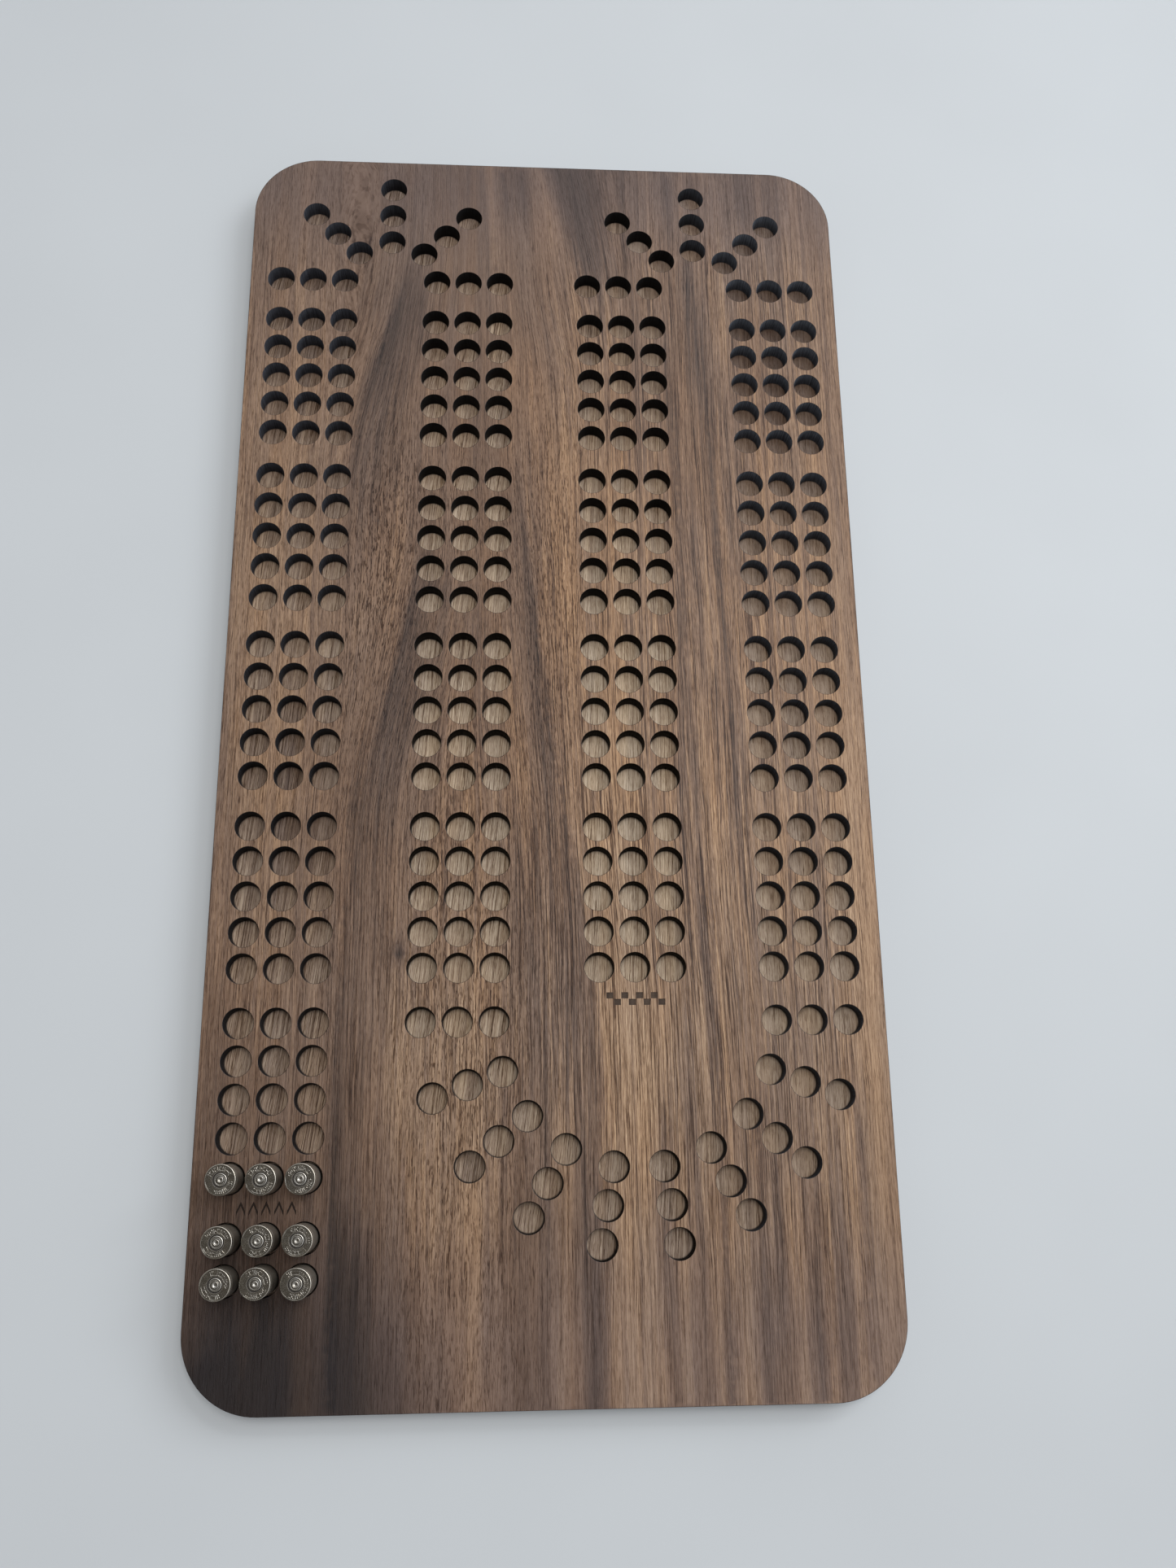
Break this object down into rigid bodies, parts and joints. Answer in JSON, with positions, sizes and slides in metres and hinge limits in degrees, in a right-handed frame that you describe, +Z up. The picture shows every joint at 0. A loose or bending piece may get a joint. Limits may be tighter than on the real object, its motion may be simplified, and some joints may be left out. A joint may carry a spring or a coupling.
{
  "type": "cribbage board",
  "caption": "Flat three-player cribbage board of two laminated walnut panels with a looping track of blind peg holes; spent pistol cases stand mouth down as pegs.",
  "frame": {"origin": "centre of the underside of the board", "axes": "+Z up out of the peg holes, +Y along the lanes from the start end to the far end, +X to the right seen from the start end"},
  "size_m": [0.2372, 0.4776, 0.0256],
  "materials": {
    "walnut_top": "oiled satin, charred cut edges",
    "walnut_backer": "oiled satin",
    "case_nickel": "worn nickel plate",
    "primer_nickel": "dull fired nickel plate",
    "anvil_brass": "sooty brass"
  },
  "bodies": {
    "board": {"top_panel": "walnut_top", "backer_panel": "walnut_backer"},
    "peg_left_front": {"peg_left_front_case": "case_nickel", "peg_left_front_primer_cup": "primer_nickel", "peg_left_front_anvil": "anvil_brass"},
    "peg_left_middle": {"peg_left_middle_case": "case_nickel", "peg_left_middle_primer_cup": "primer_nickel", "peg_left_middle_anvil": "anvil_brass"},
    "peg_left_rear": {"peg_left_rear_case": "case_nickel", "peg_left_rear_primer_cup": "primer_nickel", "peg_left_rear_anvil": "anvil_brass"},
    "peg_centre_front": {"peg_centre_front_case": "case_nickel", "peg_centre_front_primer_cup": "primer_nickel", "peg_centre_front_anvil": "anvil_brass"},
    "peg_centre_middle": {"peg_centre_middle_case": "case_nickel", "peg_centre_middle_primer_cup": "primer_nickel", "peg_centre_middle_anvil": "anvil_brass"},
    "peg_centre_rear": {"peg_centre_rear_case": "case_nickel", "peg_centre_rear_primer_cup": "primer_nickel", "peg_centre_rear_anvil": "anvil_brass"},
    "peg_right_front": {"peg_right_front_case": "case_nickel", "peg_right_front_primer_cup": "primer_nickel", "peg_right_front_anvil": "anvil_brass"},
    "peg_right_middle": {"peg_right_middle_case": "case_nickel", "peg_right_middle_primer_cup": "primer_nickel", "peg_right_middle_anvil": "anvil_brass"},
    "peg_right_rear": {"peg_right_rear_case": "case_nickel", "peg_right_rear_primer_cup": "primer_nickel", "peg_right_rear_anvil": "anvil_brass"}
  },
  "joints": [
    {"name": "peg_left_front_lift", "type": "slide", "parent": "board", "child": "peg_left_front", "axis": [0, 0, 1], "range_m": [0, 0.02]},
    {"name": "peg_left_middle_lift", "type": "slide", "parent": "board", "child": "peg_left_middle", "axis": [0, 0, 1], "range_m": [0, 0.02]},
    {"name": "peg_left_rear_lift", "type": "slide", "parent": "board", "child": "peg_left_rear", "axis": [0, 0, 1], "range_m": [0, 0.02]},
    {"name": "peg_centre_front_lift", "type": "slide", "parent": "board", "child": "peg_centre_front", "axis": [0, 0, 1], "range_m": [0, 0.02]},
    {"name": "peg_centre_middle_lift", "type": "slide", "parent": "board", "child": "peg_centre_middle", "axis": [0, 0, 1], "range_m": [0, 0.02]},
    {"name": "peg_centre_rear_lift", "type": "slide", "parent": "board", "child": "peg_centre_rear", "axis": [0, 0, 1], "range_m": [0, 0.02]},
    {"name": "peg_right_front_lift", "type": "slide", "parent": "board", "child": "peg_right_front", "axis": [0, 0, 1], "range_m": [0, 0.02]},
    {"name": "peg_right_middle_lift", "type": "slide", "parent": "board", "child": "peg_right_middle", "axis": [0, 0, 1], "range_m": [0, 0.02]},
    {"name": "peg_right_rear_lift", "type": "slide", "parent": "board", "child": "peg_right_rear", "axis": [0, 0, 1], "range_m": [0, 0.02]}
  ]
}
